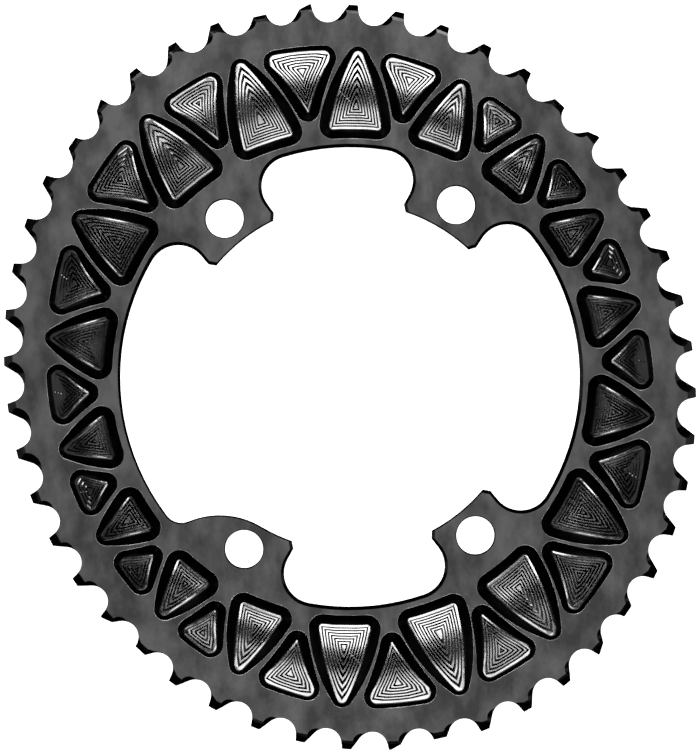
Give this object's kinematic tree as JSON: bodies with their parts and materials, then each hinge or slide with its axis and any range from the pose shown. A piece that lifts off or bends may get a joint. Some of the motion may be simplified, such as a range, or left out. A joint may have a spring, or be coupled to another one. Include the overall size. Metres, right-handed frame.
{
  "type": "bicycle chainring",
  "caption": "Oval outer chainring for a derailleur bicycle: toothed rim with pocketed face, open centre and tabs for the crank's bolts.",
  "frame": {"origin": "centre of the bolt pattern on the back face, which is the lowest plane of the part as it lies", "axes": "+Z out of the front face, the one with the pockets, away from the bicycle; X along the shorter side of the rectangle that the bolt holes make, Y along its longer side"},
  "size_m": [0.1878, 0.204, 0.0044],
  "materials": {
    "anodised": "satin"
  },
  "bodies": {
    "root": {"chainring": "anodised"}
  },
  "joints": []
}
